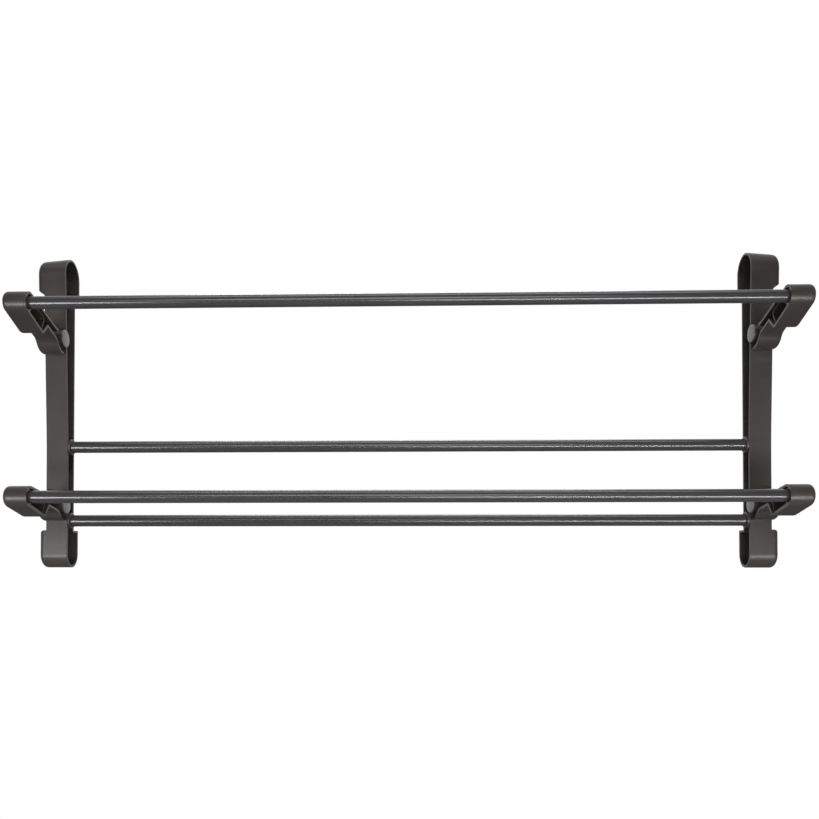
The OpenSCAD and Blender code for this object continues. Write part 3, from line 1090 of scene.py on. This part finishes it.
@dataclass
class Studio:
    """The camera, the soft lights and the plain pale surroundings."""

    floor_z: float = -1.3
    floor_reach: float = 12.0
    camera_place: tuple[float, float, float] = (0.0087, -0.9348, -0.1587)
    camera_turn: tuple[float, float, float] = (radians(91), 0.0, radians(1.66))
    lens: float = 36.69
    shift: tuple[float, float] = (0.0259, 0.1615)

    def camera(self) -> None:
        """Makes the camera."""
        data = bpy.data.cameras.new("camera")
        data.lens, data.sensor_width = self.lens, 36.0
        data.shift_x, data.shift_y = self.shift
        cam = bpy.data.objects.new("camera", data)
        cam.location = self.camera_place
        cam.rotation_euler = self.camera_turn
        bpy.context.scene.collection.objects.link(cam)
        bpy.context.scene.camera = cam

    def floor(self) -> None:
        """Makes the plain pale floor."""
        bm = bmesh.new()
        bmesh.ops.create_grid(
            bm, x_segments=1, y_segments=1, size=self.floor_reach,
            matrix=Matrix.Translation((0, 0, self.floor_z)),
        )
        mesh = bpy.data.meshes.new("floor")
        bm.to_mesh(mesh)
        bm.free()
        obj = bpy.data.objects.new("floor", mesh)
        bpy.context.scene.collection.objects.link(obj)
        made = bpy.data.materials.new("pale_floor")
        made.use_nodes = True
        tree = made.node_tree
        shader = tree.nodes["Principled BSDF"]
        shader.inputs["Base Color"].default_value = (0.5, 0.5, 0.5, 1.0)
        shader.inputs["Roughness"].default_value = 0.9
        glow = add_node(tree, "ShaderNodeEmission", {"Color": (1, 1, 1, 1), "Strength": 1.0})
        path = add_node(tree, "ShaderNodeLightPath")
        blend = add_node(tree, "ShaderNodeMixShader", {
            0: path.outputs["Is Camera Ray"], 1: shader.outputs[0], 2: glow.outputs[0]
        })
        tree.links.new(blend.outputs[0], tree.nodes["Material Output"].inputs["Surface"])
        mesh.materials.append(made)

    def surroundings(self) -> None:
        """A white backdrop to the eye; what is lit sees a pale wall behind and a dim room."""
        world = bpy.data.worlds.new("studio")
        bpy.context.scene.world = world
        world.use_nodes = True
        tree = world.node_tree
        tree.nodes.clear()
        way = add_node(tree, "ShaderNodeTexCoord").outputs["Generated"]
        depth = add_node(tree, "ShaderNodeSeparateXYZ", {"Vector": way}).outputs["Y"]
        mirrored = ranged(tree, depth, -0.2, 0.5, 0.05, 1.0)
        dim = add_node(tree, "ShaderNodeBackground", {0: (1, 1, 1, 1), 1: 0.08})
        wall = add_node(tree, "ShaderNodeBackground", {0: (1, 1, 1, 1), 1: mirrored})
        backdrop = add_node(tree, "ShaderNodeBackground", {0: (1, 1, 1, 1), 1: 1.0})
        path = add_node(tree, "ShaderNodeLightPath")
        room = add_node(tree, "ShaderNodeMixShader", {
            0: path.outputs["Is Glossy Ray"], 1: dim.outputs[0], 2: wall.outputs[0]
        })
        blend = add_node(tree, "ShaderNodeMixShader", {
            0: path.outputs["Is Camera Ray"], 1: room.outputs[0], 2: backdrop.outputs[0]
        })
        end = add_node(tree, "ShaderNodeOutputWorld")
        tree.links.new(blend.outputs[0], end.inputs["Surface"])

    def build(self) -> None:
        """Makes the whole studio."""
        bpy.context.scene.view_settings.view_transform = "Standard"
        self.camera()
        self.floor()
        self.surroundings()
        for box in (
            Softbox("low_strip", (0.6, -1.2, -0.62), (0.15, 0.0, -0.05), 1.3, 0.1, 15.0),
            Softbox("left_panel", (-0.95, -1.1, -0.45), (-0.35, 0.0, -0.1), 0.5, 0.3, 9.0),
            Softbox("front_fill", (-0.1, -1.9, 0.4), (0.0, 0.0, 0.0), 1.3, 0.5, 10.0),
            Softbox("top", (0.0, -0.5, 1.3), (0.0, -0.05, 0.0), 1.6, 0.5, 8.0),
            Softbox("back", (0.0, 1.0, 1.4), (0.0, 0.0, 0.0), 1.3, 0.5, 12.0),
        ):
            box.build()


# ------------------------------------------------------------------ the whole rack


def dress_cad_nodes(dress: dict[str, bpy.types.Material]) -> None:
    """Gives the carried-over CAD nodes their finishes."""
    for name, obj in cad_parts.items():
        if obj.hide_render:
            continue
        finish = NYLON if name.endswith("_plugs") else ZINC
        for i in range(len(obj.material_slots)):
            obj.material_slots[i].material = dress[finish.name]
        if not obj.material_slots:
            obj.data.materials.append(dress[finish.name])
        log.info("%s: CAD node in %s", name, finish.name)


def main() -> None:
    """Builds the rack, piece by piece, and its studio."""
    logging.basicConfig(level=logging.INFO, format="%(message)s")
    groups = {"grain": grain_group(), "tone": tone_group(), "wear": wear_group()}
    finishes = (MOULDED, HINGE_CAP, RAIL_COAT, ZINC, NYLON)
    dress = {f.name: f.material(groups) for f in finishes}
    upright, arm, hinge = Upright(SIZES, dress), Arm(SIZES, dress), Hinge(SIZES, dress)
    rail = Rail(SIZES, dress)
    for side in Side:
        upright.build(side)
        for level in Level:
            arm.build(side, level)
            hinge.build(side, level)
    for stem, z in zip(("upper_rear", "lower_rear"), SIZES.rear_rail_heights):
        rail.build(stem, "frame", (SIZES.rear_rail_d, z), upright.seat_x)
    for level in Level:
        rail.build(f"{level.word}_front", level.value, SIZES.front_rail(level), arm.socket_end)
    dress_cad_nodes(dress)
    Studio().build()


if __name__ == "__main__":
    main()
